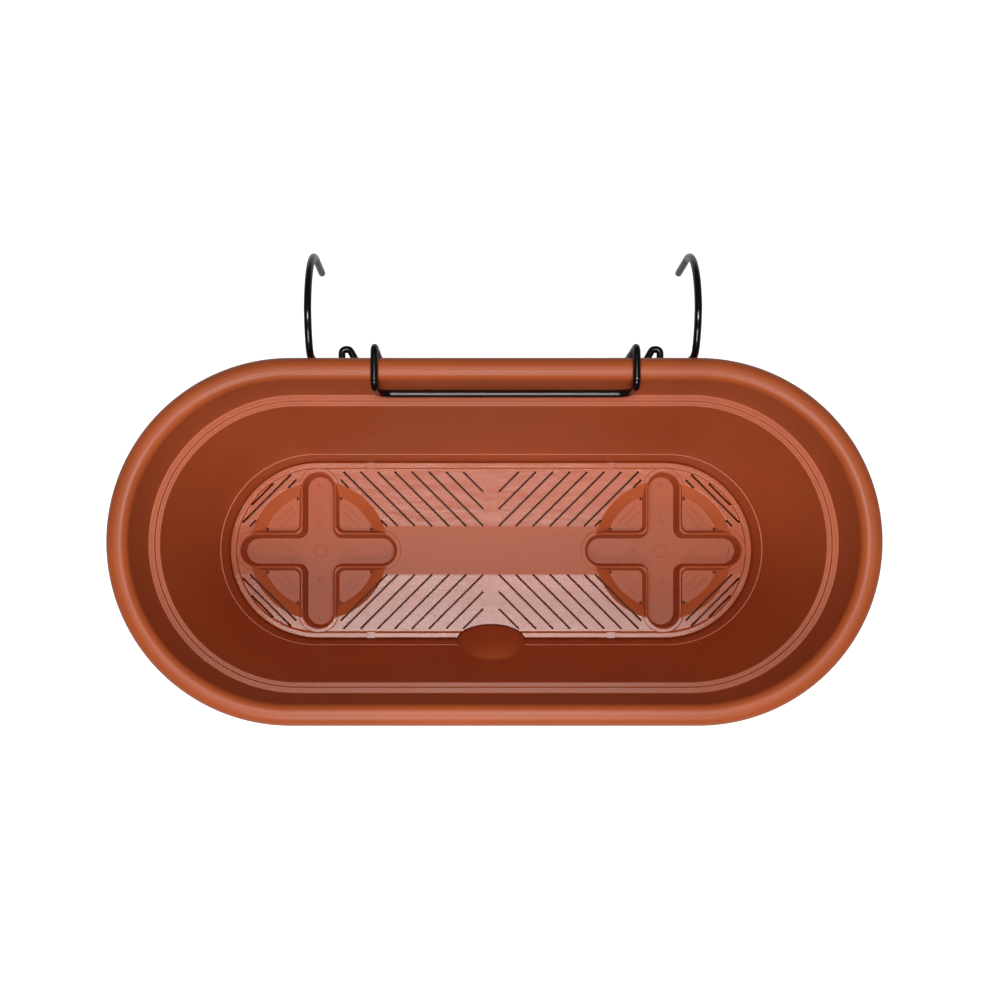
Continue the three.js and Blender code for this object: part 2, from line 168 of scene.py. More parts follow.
class WireSizes(bpy.types.PropertyGroup):
    """The bent wire, with the corners of its path before they are rounded."""

    diameter: length("Diameter", "Diameter of the coated wire", 5.8)
    clip_half: length("Clip half spacing", "From the clips' middle to a clip", 100.4)
    clip_shift: length("Clip shift", "Clips' middle to the right of the hooks' middle", 1.8)
    hook_half: length("Hook half spacing", "From the middle to a hook", 150.3)
    edge_clearance: length("Edge clearance", "Between the wire and the edge of the rim", 1)
    bar_depth: length("Bar depth", "Cross bar below the top of the rim", 33)
    bar_inset: length("Bar inset", "Between the cross bar and the wall", 0.6)
    clip_stand: length("Clip stand", "Rear leg of the clip behind the edge of the rim", 7)
    foot_depth: length("Foot depth", "Stand-off bends below the top of the rim", 72)
    foot_half: length("Foot half spacing", "From the middle to a stand-off bend", 127.5)
    foot_reach: length("Foot reach", "Stand-off bends behind the edge of the rim", 18.5)
    foot_width: length("Foot half width", "Half width of a stand-off bend", 3.2)
    hook_radius: length("Hook radius", "Radius of the hooks", 55)
    hook_drop: length("Hook drop", "Top of the hooks below the top of the rim", 3.5)
    hook_end: length("Hook end", "End of the hooks below the top of the rim", 100)
    bend: length("Bend", "Usual bend radius", 7)


class Finishes(bpy.types.PropertyGroup):
    """Colours of the plastic and of the wire's coating."""

    pot: colour("Pot", "Terracotta of the pot", (0.455, 0.093, 0.025))
    grid: colour("False bottom", "Terracotta of the false bottom", (0.480, 0.104, 0.032))
    wire: colour("Wire", "Black coating of the wire", (0.0016, 0.0016, 0.0018))
    floor: colour("Floor", "Pale floor under the planter", (0.90, 0.90, 0.90))


# ---------------------------------------------------------------- surfaces

def mesh_object(name, points, faces):
    """Puts points and faces into a new mesh object at the origin."""
    mesh = bpy.data.meshes.new(name)
    mesh.from_pydata(points, [], faces)
    mesh.validate()
    piece = bpy.data.objects.new(name, mesh)
    bpy.context.scene.collection.objects.link(piece)
    return piece


def smooth(piece, degrees):
    """Shades a piece smooth and keeps every edge sharper than the given angle crisp."""
    piece.data.shade_smooth()
    piece.data.set_sharp_from_angle(angle=math.radians(degrees))


def paint(piece, material):
    """Gives a piece one material, in place of the empty slot that a Boolean can leave."""
    piece.data.materials.clear()
    piece.data.materials.append(material)


def loft_faces(rows, columns):
    """Quads between neighbouring rings of a closed loft, and one flat face at each end."""
    ring = np.arange(columns)
    after = np.roll(ring, -1)
    start = (np.arange(rows - 1) * columns)[:, None]
    quads = np.stack([start + ring, start + after, start + columns + after, start + columns + ring], axis=-1)
    faces = quads.reshape(-1, 4).tolist()
    faces.append(ring[::-1].tolist())
    faces.append((ring + (rows - 1) * columns).tolist())
    return faces


def loft(name, rings):
    """Closed body through rings of equal length, an array of (ring, point, xyz), flat at both ends."""
    rows, columns, _ = rings.shape
    return mesh_object(name, rings.reshape(-1, 3).tolist(), loft_faces(rows, columns))


def arc(centre, radius, start, end, steps):
    """Points on a circle from one angle to another in degrees: centre + radius (cos, sin)."""
    turn = np.radians(np.linspace(start, end, steps + 1))
    return np.column_stack([centre[0] + radius * np.cos(turn), centre[1] + radius * np.sin(turn)])


def line(start, end, steps):
    """Evenly spaced points from start up to, but without, end."""
    share = np.linspace(0, 1, steps, endpoint=False)[:, None]
    return np.array(start) * (1 - share) + np.array(end) * share


def stadium(half_straight, end_steps, front_x):
    """Path with two round ends, anticlockwise from the front of the right end.

    Each point is a place on the middle line, (x, 0), and the direction in which a half width is laid
    off: (cos a, sin a) with a going half round at each end, and straight out along the sides. The
    front side passes through the given x values, so that the niche gets the points it needs.
    """
    right = np.radians(np.linspace(-90, 90, end_steps + 1))
    left = np.radians(np.linspace(90, 270, end_steps + 1))
    back_x = np.linspace(half_straight, -half_straight, SIDE_POINTS)[1:-1]
    turn = np.concatenate([right, np.full(len(back_x), np.pi / 2), left, np.full(len(front_x), -np.pi / 2)])
    x = np.concatenate([
        np.full(len(right), half_straight), back_x, np.full(len(left), -half_straight), front_x,
    ])
    return x, np.column_stack([np.cos(turn), np.sin(turn)])


def sweep_stadium(path, profile, niche=None, skin=None):
    """Carries a profile of (half width, height) round a stadium path.

    A point is the path's place + half width times the path's direction, at the profile's height.
    niche(x, height) is the half width of a second surface that draws the front wall in, and skin is
    how far outside that surface each point of the profile belongs.
    """
    x, out = path
    half = profile[:, 0][:, None] * np.ones(len(x))
    height = profile[:, 1][:, None] * np.ones(len(x))
    if niche is not None:
        front = (out[:, 1] < -0.999)[None, :]
        rounding = 2.5 * MM
        lowest, highest = 2 * MM, 150 * MM
        drawn = blend_low(half, niche(x[None, :], height) + skin[:, None], rounding)
        low_wall = (height > lowest) & (height < highest)
        half = np.where(front & low_wall, drawn, half)
    return np.stack([x[None, :] + half * out[:, 0], half * out[:, 1], height], axis=-1)


def cross_outline(reach, arm_half, corner, tip_steps=24, corner_steps=8):
    """Outline of a cross with four round tipped arms, anticlockwise, as (x, y).

    One arm is a half circle of radius arm_half about (reach - arm_half, 0), then a fillet of radius
    corner about (arm_half + corner, arm_half + corner); the other three are turned by 90 degrees.
    """
    tip = arc((reach - arm_half, 0), arm_half, -90, 90, tip_steps)
    fillet = arc((arm_half + corner, arm_half + corner), corner, 270, 180, corner_steps)
    arm = np.concatenate([tip, fillet])
    turns = np.radians([0, 90, 180, 270])
    return np.concatenate([
        np.column_stack([arm[:, 0] * np.cos(t) - arm[:, 1] * np.sin(t),
                         arm[:, 0] * np.sin(t) + arm[:, 1] * np.cos(t)])
        for t in turns
    ])


def cross_loft(name, centre_x, reach, arm_half, corner, profile):
    """Lofts the outline of a cross through a profile of (growth, height): reach and arm grow by the
    growth and the fillet between the arms shrinks by it."""
    rings = []
    for growth, height in profile:
        outline = cross_outline(reach + growth, arm_half + growth, max(corner - growth, 0.2 * MM))
        level = np.full(len(outline), height)
        rings.append(np.column_stack([outline[:, 0] + centre_x, outline[:, 1], level]))
    return loft(name, np.array(rings))


def turned_disc(name, centre, profile, steps=96):
    """Surface of revolution about a vertical axis: radius and height of the profile, turned in a circle."""
    turn = np.linspace(0, 2 * np.pi, steps, endpoint=False)
    profile = np.array(profile)
    rings = np.stack([
        centre[0] + profile[:, :1] * np.cos(turn),
        centre[1] + profile[:, :1] * np.sin(turn),
        profile[:, 1:] * np.ones(steps),
    ], axis=-1)
    return loft(name, rings)


def bar(name, centre, along, across, size):
    """Closed bar of the given length, width and height, centred, its length along a direction."""
    long, wide, high = size
    corners = np.array([[-1, -1], [1, -1], [1, 1], [-1, 1]]) / 2
    along, across = np.array(along), np.array(across)
    flat = corners[:, :1] * long * along + corners[:, 1:] * wide * across + np.array(centre[:2])
    rings = np.array([
        np.column_stack([flat, np.full(4, centre[2] + end * high / 2)]) for end in (-1, 1)
    ])
    return loft(name, rings)


def combine(body, operation, tools):
    """Joins the tool bodies to a body, or cuts them from it, and applies the result to its mesh."""
    for tool in tools:
        modifier = body.modifiers.new(tool.name, "BOOLEAN")
        modifier.operation = operation
        modifier.solver = "MANIFOLD"
        modifier.object = tool
    settle(body)
    for tool in tools:
        mesh = tool.data
        bpy.data.objects.remove(tool)
        bpy.data.meshes.remove(mesh)


def even_shading(piece):
    """Turns the corner normals towards the larger faces, so that flat faces shade as flat."""
    weighted = piece.modifiers.new("even_shading", "WEIGHTED_NORMAL")
    weighted.mode = "FACE_AREA"
    weighted.keep_sharp = True
    settle(piece)


def settle(piece):
    """Applies a piece's modifiers to its mesh."""
    graph = bpy.context.evaluated_depsgraph_get()
    mesh = bpy.data.meshes.new_from_object(piece.evaluated_get(graph))
    before = piece.data
    piece.modifiers.clear()
    piece.data = mesh
    bpy.data.meshes.remove(before)
    mesh.name = piece.name


def merge_bodies(name, bodies):
    """One object that holds several bodies which don't touch each other."""
    points = []
    faces = []
    for body in bodies:
        start = len(points)
        points.extend(tuple(v.co) for v in body.data.vertices)
        faces.extend([start + i for i in p.vertices] for p in body.data.polygons)
        mesh = body.data
        bpy.data.objects.remove(body)
        bpy.data.meshes.remove(mesh)
    return mesh_object(name, points, faces)


# ---------------------------------------------------------------- pot

def pot_levels(sizes):
    """Half widths and heights of the inner wall, worked out from the rim downwards."""
    top = POT_HIGH[2]
    rim_half = (POT_HIGH[1] - POT_LOW[1]) / 2
    half_straight = (POT_HIGH[0] - POT_LOW[0]) / 2 - rim_half
    opening = rim_half - sizes.rim_band
    ledge_z = top - sizes.ledge_depth
    ledge = opening - (sizes.ledge_depth - sizes.rim_inner_round) * math.tan(sizes.upper_draft)
    middle = ledge - sizes.upper_tread
    lower_z = ledge_z - sizes.riser
    lower = middle - sizes.lower_tread
    line_half = lower - (lower_z - sizes.line_height) * math.tan(sizes.lower_draft)
    foot = line_half - sizes.line_tread
    floor_corner_z = sizes.floor + sizes.floor_round
    floor_corner = foot - (sizes.line_height - floor_corner_z) * math.tan(sizes.lower_draft)
    return {
        "top": top, "rim": rim_half, "straight": half_straight, "opening": opening,
        "ledge": ledge, "ledge_z": ledge_z, "middle": middle, "lower": lower, "lower_z": lower_z,
        "line": line_half, "foot": foot, "floor_corner": floor_corner, "floor_corner_z": floor_corner_z,
    }


def pot_profile(sizes):
    """Section of the pot from under the base, up the outside, over the rim and down to the floor,
    and for each of its points the wall's thickness if it lies outside, or else 0."""
    at = pot_levels(sizes)
    wall = sizes.wall
    top = at["top"]
    base_half = at["foot"] - sizes.line_height * math.tan(sizes.lower_draft) + wall
    base_round = sizes.base_round
    edge = 0.7 * MM
    skirt_top = top - sizes.rim_outer_round
    skirt_low = skirt_top - sizes.rim_skirt
    rim_centre = at["rim"] - sizes.rim_outer_round
    inner_centre = at["opening"] + sizes.rim_inner_round
    inner_low = top - sizes.rim_inner_round
    line_z = sizes.line_height
    recess = 0.8 * MM
    foot_width = 14 * MM
    outside = [
        [(base_half - base_round - foot_width - 2 * recess, recess)],
        [(base_half - base_round - foot_width - recess, recess)],
        [(base_half - base_round - foot_width, 0)],
        arc((base_half - base_round, base_round), base_round, -90, 4, 8),
        line((at["floor_corner"] + wall, at["floor_corner_z"]), (at["foot"] + wall, line_z - wall), 24),
        line((at["foot"] + wall, line_z - wall), (at["line"] + wall, line_z), 2),
        line((at["line"] + wall, line_z), (at["lower"] + wall, at["lower_z"] - wall), 60),
        arc((at["lower"] + wall + edge, at["lower_z"] - wall - edge), edge, 180, 90, 4),
        arc((at["ledge"] + wall - edge, at["lower_z"] - wall + edge * 0.6), edge, -90, 0, 4),
        line((at["ledge"] + wall, at["ledge_z"]), (at["opening"] + wall, inner_low), 8),
        arc((inner_centre, inner_low), sizes.rim_inner_round - wall, 180, 90, 8),
        arc((rim_centre, skirt_top), sizes.rim_outer_round - wall, 90, 0, 10),
        arc((at["rim"] - wall / 2, skirt_low + wall / 2), wall / 2, 180, 360, 10),
        arc((rim_centre, skirt_top), sizes.rim_outer_round, 0, 90, 16),
        arc((inner_centre, inner_low), sizes.rim_inner_round, 90, 180, 14),
    ]
    inside = [
        line((at["opening"], inner_low), (at["ledge"], at["ledge_z"] + edge), 10)[1:],
        arc((at["ledge"] - edge, at["ledge_z"] + edge), edge, 0, -90, 4),
        line((at["ledge"] - edge, at["ledge_z"]), (at["middle"] + edge, at["ledge_z"]), 3)[1:],
        arc((at["middle"] + edge, at["ledge_z"] - edge), edge, 90, 180, 5),
        arc((at["middle"] - 0.3 * MM, at["lower_z"] + 0.3 * MM), 0.3 * MM, 0, -90, 3),
        line((at["middle"] - 0.6 * MM, at["lower_z"]), (at["lower"] + edge, at["lower_z"]), 3)[1:],
        arc((at["lower"] + edge, at["lower_z"] - edge), edge, 90, 170, 5),
        line((at["lower"], at["lower_z"] - 1.5 * edge), (at["line"], line_z + 0.2 * MM), 66)[1:],
        arc((at["line"] - 0.15 * MM, line_z + 0.15 * MM), 0.15 * MM, 0, -90, 2),
        arc((at["foot"] + 0.25 * MM, line_z - 0.25 * MM), 0.25 * MM, 90, 170, 4),
        line((at["foot"], line_z - MM), (at["floor_corner"], at["floor_corner_z"]), 30)[1:],
        arc((at["floor_corner"] - sizes.floor_round, at["floor_corner_z"]), sizes.floor_round, 0, -90, 8),
    ]
    parts = [np.array(part, dtype=float).reshape(-1, 2) for part in outside + inside]
    skins = [wall] * len(outside) + [0] * len(inside)
    skin = np.concatenate([np.full(len(part), thick) for part, thick in zip(parts, skins)])
    return np.concatenate(parts), skin


def niche_surface(sizes):
    """Half width of the niche's own surface at (x, height): the wall's slope less the niche's depth
    times sqrt(1 - r^2), where r is the distance from its deepest point as a share of its reach.
    Outside r = 1 it goes on as 1 - r^2, behind the wall."""
    line_half = pot_levels(sizes)["line"]
    lean = sizes.lower_draft

    def surface(x, height):
        rise = (height - sizes.niche_centre) / math.cos(lean)
        reach = np.where(rise > 0, sizes.niche_above, sizes.niche_below)
        left = 1 - (x / sizes.niche_half_width) ** 2 - (rise / reach) ** 2
        bulge = np.where(left > 0, np.sqrt(np.abs(left)), left)
        slope = line_half - (sizes.line_height - height) * math.tan(lean)
        return slope - sizes.niche_depth * bulge

    return surface


def blend_low(first, second, width):
    """The lower of two arrays, rounded where they cross: the polynomial smooth minimum."""
    share = np.clip(0.5 + 0.5 * (second - first) / width, 0, 1)
    return second * (1 - share) + first * share - width * share * (1 - share)


class PLANTER_OT_pot(bpy.types.Operator):
    """Make the terracotta pot with its rolled rim, stepped ledge and overflow niche"""

    bl_idname = "planter.pot"
    bl_label = "Planting pot"

    def execute(self, context):
        sizes = context.scene.planter_pot
        at = pot_levels(sizes)
        niche_reach = sizes.niche_half_width + 3.5 * MM
        niche_x = np.linspace(-niche_reach, niche_reach, 69)
        side_x = np.linspace(-at["straight"], niche_x[0], 10)[1:-1]
        front_x = np.concatenate([side_x, niche_x, -side_x[::-1]])
        path = stadium(at["straight"], END_STEPS, front_x)
        profile, skin = pot_profile(sizes)
        pot = loft("planting_pot_shell", sweep_stadium(path, profile, niche_surface(sizes), skin))
        plate = context.scene.planter_grid
        hole_z = GRID_HIGH[2] - plate.lip_height - plate.thickness - sizes.overflow_drop
        turn = np.linspace(0, 2 * np.pi, 40, endpoint=False)
        radius = sizes.overflow_diameter / 2
        drill = loft("overflow_drill", np.array([
            np.column_stack([radius * np.cos(turn), np.full(40, y), hole_z + radius * np.sin(turn)])
            for y in (-at["line"] + THROUGH, -at["line"] - THROUGH)
        ]))
        combine(pot, "DIFFERENCE", [drill])
        smooth(pot, 34)
        paint(pot, pot_plastic(context.scene.planter_finish.pot))
        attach(pot, "pot")
        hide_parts(*POT_NODES)
        return {"FINISHED"}


# ---------------------------------------------------------------- false bottom

def plate_profile(sizes, half, top):
    """Section of the plate: rounded border, and a fillet down to the flat upper face."""
    low = top - sizes.thickness
    high = top + sizes.lip_height
    edge = 1.1 * MM
    inner = half - sizes.lip_width
    return np.concatenate([
        arc((half - 0.4 * MM - edge * 0.5, low + edge * 0.5), edge * 0.5, -90, 0, 4),
        arc((half - edge, high - edge), edge, 0, 90, 7),
        arc((inner + edge, high - edge), edge, 90, 170, 6),
        arc((inner - 0.9 * edge, top + 0.9 * edge), 0.9 * edge, -20, -90, 5),
    ])


def slot_stretches(distance, inside):
    """Ends of the stretches of a slot's line that lie inside the given limits, along the line."""
    along = np.linspace(-0.14, 0.14, 1121)
    kept = inside((distance - along) / math.sqrt(2), (distance + along) / math.sqrt(2))
    step = np.diff(np.concatenate([[False], kept, [False]]).astype(int))
    return [
        (along[a], along[min(b, len(along)) - 1])
        for a, b in zip(np.flatnonzero(step == 1), np.flatnonzero(step == -1))
        if along[min(b, len(along)) - 1] - along[a] > 7 * MM
    ]


def slot_bodies(sizes, half, half_straight, arm_half, pocket, top):
    """Every drainage slot as a bar. The slots of each quarter round a well run at 45 degrees, so
    that together they make a diamond about it."""
    outer_y = half - sizes.slot_edge

    def field(quarter_y):
        """Where a quarter's slots may run. At the back the innermost ones stop at the pocket."""
        inner = pocket + 0.6 * MM if quarter_y > 0 else 0

        def clear(x, y):
            return (np.hypot(x, y) > inner) & (x > arm_half + sizes.slot_well) & (y > sizes.slot_band)

        def near_middle(x, y):
            return clear(x, y) & (x < half_straight - sizes.slot_bridge / 2) & (y < outer_y)

        def near_end(x, y):
            return clear(x, y) & (np.hypot(x, y) < outer_y + 2 * MM)

        return near_middle, near_end

    middle = [sizes.slot_first, *np.arange(sizes.slot_second, 2 * half_straight, sizes.slot_pitch)]
    ends = [sizes.slot_first, sizes.slot_second, sizes.slot_end]
    bodies = []
    for end in (-1, 1):
        for quarter_y in (-1, 1):
            near_middle, near_end = field(quarter_y)
            for quarter_x, distances, inside in ((-end, middle, near_middle), (end, ends, near_end)):
                for distance in distances:
                    for first, last in slot_stretches(distance, inside):
                        mid = (first + last) / 2
                        place = np.array([quarter_x * (distance - mid), quarter_y * (distance + mid)])
                        place = place / math.sqrt(2)
                        along = np.array([-quarter_x, quarter_y]) / math.sqrt(2)
                        across = np.array([-along[1], along[0]])
                        centre = (end * half_straight + place[0], place[1], top)
                        size = (last - first, sizes.slot_width, THROUGH)
                        bodies.append(bar("slot", centre, along, across, size))
    return bodies


class PLANTER_OT_grid(bpy.types.Operator):
    """Make the slotted false bottom with its two cross shaped wells"""

    bl_idname = "planter.grid"
    bl_label = "False bottom"

    def execute(self, context):
        sizes = context.scene.planter_grid
        pot = context.scene.planter_pot
        levels = pot_levels(pot)
        straight = levels["straight"]
        top = GRID_HIGH[2] - sizes.lip_height
        half = (GRID_HIGH[1] - GRID_LOW[1]) / 2
        arm_half = sizes.arm_width / 2
        reach = half - sizes.tip_margin
        bottom = GRID_LOW[2]
        well_floor = bottom + sizes.well_wall
        pocket = reach - sizes.pocket_overlap
        pocket_floor = pocket - sizes.pocket_slope
        plate_x = np.linspace(-straight, straight, SIDE_POINTS)[1:-1]
        path = stadium(straight, GRID_END_STEPS, plate_x)
        grid = loft("water_grid_plate", sweep_stadium(path, plate_profile(sizes, half, top)))
        lean = math.tan(sizes.well_draft)
        low = top - sizes.pocket_depth
        skin = sizes.thickness
        collar = 0.7 * MM

        def both(make):
            return [make(x, side) for side, x in (("left", -straight), ("right", straight))]

        combine(grid, "UNION", both(lambda x, side: turned_disc(f"dish_{side}", (x, 0), [
            (pocket_floor - 1 * MM, low - skin), (pocket_floor + skin * 0.4, low - skin + 0.6 * MM),
            (pocket + skin * 0.4, top - skin + 0.2 * MM), (pocket + skin * 0.4, top - 1 * MM),
        ])))
        combine(grid, "UNION", both(lambda x, side: cross_loft(
            f"collar_{side}", x, reach, arm_half, sizes.corner_round + 5 * MM,
            [(4.6 * MM, top - 1 * MM), (4.6 * MM, top + collar * 0.2), (4.3 * MM, top + collar * 0.65),
             (3.7 * MM, top + collar)],
        )))
        combine(grid, "DIFFERENCE", both(lambda x, side: turned_disc(f"pocket_{side}", (x, 0), [
            (pocket_floor - 1.2 * MM, low), (pocket_floor - 0.4 * MM, low + 0.25 * MM),
            (pocket_floor + 0.3 * MM, low + 0.9 * MM), (pocket - 0.8 * MM, top - 1.0 * MM),
            (pocket, top - 0.35 * MM), (pocket + 0.9 * MM, top), (pocket + 1.0 * MM, top + 3 * MM),
        ])))
        depth = top - bottom
        combine(grid, "UNION", both(lambda x, side: cross_loft(
            f"well_{side}", x, reach, arm_half, sizes.corner_round + 3 * MM,
            [(sizes.well_wall - depth * lean - 1.2 * MM, bottom),
             (sizes.well_wall - depth * lean - 0.35 * MM, bottom + 0.35 * MM),
             (sizes.well_wall - depth * lean, bottom + 1.2 * MM),
             (sizes.well_wall - (top - low + skin) * lean, low - skin),
             (4.0 * MM, low - skin + 0.4 * MM), (4.0 * MM, low + 0.2 * MM), (1.9 * MM, top - 0.2 * MM),
             (1.5 * MM, top + 0.55 * MM), (0.9 * MM, top + 0.9 * MM)],
        )))
        inner_depth = top - well_floor
        foot = -inner_depth * lean
        combine(grid, "DIFFERENCE", both(lambda x, side: cross_loft(
            f"hollow_{side}", x, reach, arm_half, sizes.corner_round,
            [(foot - 1.1 * MM, well_floor), (foot - 0.35 * MM, well_floor + 0.3 * MM),
             (foot, well_floor + 1.1 * MM), (-0.35 * MM, top - 0.9 * MM), (-0.05 * MM, top + 0.1 * MM),
             (0.5 * MM, top + 0.75 * MM), (0.95 * MM, top + 0.95 * MM), (1.1 * MM, top + 3 * MM)],
        )))
        combine(grid, "DIFFERENCE", [merge_bodies("slots", slot_bodies(
            sizes, half, straight, arm_half, pocket, top))])
        self.trim(grid, context, half, top)
        self.mark_wells(grid, sizes, straight, reach, well_floor, lean, inner_depth)
        self.mark_pockets(grid, sizes, straight, arm_half, pocket_floor, low)
        smooth(grid, 24)
        even_shading(grid)
        paint(grid, grid_plastic(context.scene.planter_finish.grid, sizes.slot_band, top))
        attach(grid, "grid")
        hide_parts(*GRID_NODES)
        return {"FINISHED"}

    def trim(self, grid, context, half, top):
        """Cuts the bay that clears the overflow niche, and the four notches in the border."""
        sizes = context.scene.planter_grid
        pot = context.scene.planter_pot
        drop = pot.line_height - top
        line_half = pot_levels(pot)["line"] - drop * math.tan(pot.lower_draft)
        turn = np.linspace(0, 2 * np.pi, 160, endpoint=False)
        bay_x = (pot.niche_half_width + sizes.clearance) * np.cos(turn)
        bay_y = -line_half + (pot.niche_depth + sizes.clearance) * np.sin(turn)
        bay = loft("bay", np.array([
            np.column_stack([bay_x, bay_y, np.full(len(turn), z)]) for z in (top - 20 * MM, top + 20 * MM)
        ]))
        notches = [
            bar("notch", (x, side * half, top + sizes.lip_height), (1, 0), (0, 1),
                (sizes.notch_width, 2 * sizes.lip_width, 2 * sizes.lip_height))
            for x in (-sizes.notch_spacing / 2, sizes.notch_spacing / 2) for side in (-1, 1)
        ]
        combine(grid, "DIFFERENCE", [bay, merge_bodies("notches", notches)])

    def mark_wells(self, grid, sizes, straight, reach, floor_z, lean, depth):
        """Drills the water holes and adds the moulding marks on the well floors: a stepped tip, a
        scribed line, an ejector ring on every arm and the gate's disc in the middle."""
        tip = reach - depth * lean
        step_at, scribe_at, ring_at = 51 * MM, 38 * MM, 27 * MM
        cuts = []
        rings = []
        for centre in (-straight, straight):
            cuts.append(turned_disc("gate", (centre, 0), [
                (5.4 * MM, floor_z - 0.35 * MM), (6 * MM, floor_z + 0.1 * MM),
                (6 * MM, floor_z + 2 * MM)], 40))
            for quarter in range(4):
                turn = quarter * math.pi / 2
                along = np.array([math.cos(turn), math.sin(turn)])
                across = np.array([-along[1], along[0]])
                place = lambda distance, z: (centre + along[0] * distance, along[1] * distance, z)
                hole = place(tip - sizes.well_hole_inset, 0)
                cuts.append(turned_disc("water_hole", hole[:2], [
                    (sizes.well_hole / 2, floor_z - 8 * MM), (sizes.well_hole / 2, floor_z + 4 * MM)], 24))
                cuts.append(bar("tip_step", place(step_at, floor_z), along, across,
                                (10 * MM, 18 * MM, 0.5 * MM)))
                cuts.append(bar("scribe", place(scribe_at, floor_z), along, across,
                                (14 * MM, 0.5 * MM, 0.5 * MM)))
                rings.append(place(ring_at, floor_z))
        combine(grid, "DIFFERENCE", cuts)
        marks = [turned_disc("ejector", ring[:2], [
            (1.6 * MM, ring[2] - 0.6 * MM), (3 * MM, ring[2] - 0.6 * MM), (2.9 * MM, ring[2] + 0.18 * MM),
            (2.3 * MM, ring[2] + 0.22 * MM), (1.9 * MM, ring[2] - 0.05 * MM)], 32) for ring in rings]
        combine(grid, "UNION", marks)

    def mark_pockets(self, grid, sizes, straight, arm_half, pocket_floor, low):
        """Adds the thin ribs on the pocket floors and opens the drain holes beside the arms."""
        ribs = []
        drains = []
        side = arm_half + sizes.well_wall + 3.4 * MM
        drain_reach = math.sqrt(pocket_floor ** 2 - (arm_half + sizes.well_wall) ** 2) - 3 * MM
        for end in (-1, 1):
            centre = end * straight
            for quarter_x in (-1, 1):
                for quarter_y in (-1, 1):
                    along = np.array([-quarter_x, quarter_y]) / math.sqrt(2)
                    across = np.array([-along[1], along[0]])
                    out = np.array([quarter_x, quarter_y]) / math.sqrt(2)
                    for distance, span in ((40 * MM, 20 * MM), (46 * MM, 22 * MM)):
                        place = out * distance
                        ribs.append(bar("rib", (centre + place[0], place[1], low), along, across,
                                        (span, 1.2 * MM, 2.6 * MM)))
                    for corner in ((drain_reach, side), (side, drain_reach)):
                        x = centre + quarter_x * corner[0]
                        y = quarter_y * corner[1]
                        drains.append(turned_disc("drain", (x, y), [
                            (2.1 * MM, low - 6 * MM), (2.1 * MM, low + 9 * MM)], 3))
        combine(grid, "UNION", [merge_bodies("ribs", ribs)])
        combine(grid, "DIFFERENCE", [merge_bodies("drains", drains)])


# ---------------------------------------------------------------- hanger

def hanger_corners(context, side):
    """Corners of one half of the wire and the bend radius at each, from the hook's end to the bar."""
    sizes = context.scene.planter_wire
    levels = pot_levels(context.scene.planter_pot)
    pot = context.scene.planter_pot
    shift = (WIRE_HIGH[0] + WIRE_LOW[0]) / 2
    edge = levels["rim"]
    top = levels["top"]
    radius = sizes.diameter / 2
    over = WIRE_HIGH[2] - radius
    shank = edge + radius + sizes.edge_clearance
    hook_behind = 20 * MM
    hook_centre = edge + sizes.hook_radius - hook_behind
    leg = hook_centre + sizes.hook_radius
    bar_half = levels["opening"] - (sizes.bar_depth - pot.rim_inner_round) * math.tan(pot.upper_draft)
    bar_y = bar_half - radius - sizes.bar_inset
    foot_out = sizes.foot_half + sizes.foot_width
    foot_in = sizes.foot_half - sizes.foot_width
    foot_y = edge + sizes.foot_reach
    clip = sizes.clip_half + side * sizes.clip_shift
    clip_y = edge + sizes.clip_stand
    corners = [
        (sizes.hook_half, leg - 2 * MM, sizes.hook_end, 0),
        (sizes.hook_half, leg, sizes.hook_drop, sizes.hook_radius * 0.98),
        (sizes.hook_half, hook_centre - sizes.hook_radius * 0.17, sizes.hook_drop - 0.4 * MM,
         sizes.hook_radius),
        (sizes.hook_half, shank, sizes.hook_drop + 13.5 * MM, 14 * MM),
        (sizes.hook_half, shank, sizes.foot_depth, sizes.bend),
        (foot_out, shank, sizes.foot_depth, sizes.bend),
        (foot_out, foot_y, sizes.foot_depth, sizes.foot_width),
        (foot_in, foot_y, sizes.foot_depth, sizes.foot_width),
        (foot_in - 2 * sizes.foot_width, clip_y, sizes.foot_depth, 4 * MM),
        (clip, clip_y, sizes.foot_depth, sizes.bend),
        (clip, clip_y, top - over, sizes.bend),
        (clip, bar_y, top - over, sizes.bend),
        (clip, bar_y, sizes.bar_depth, 12 * MM),
    ]
    return [(np.array([shift + side * x, y, top - down]), bend) for x, y, down, bend in corners]


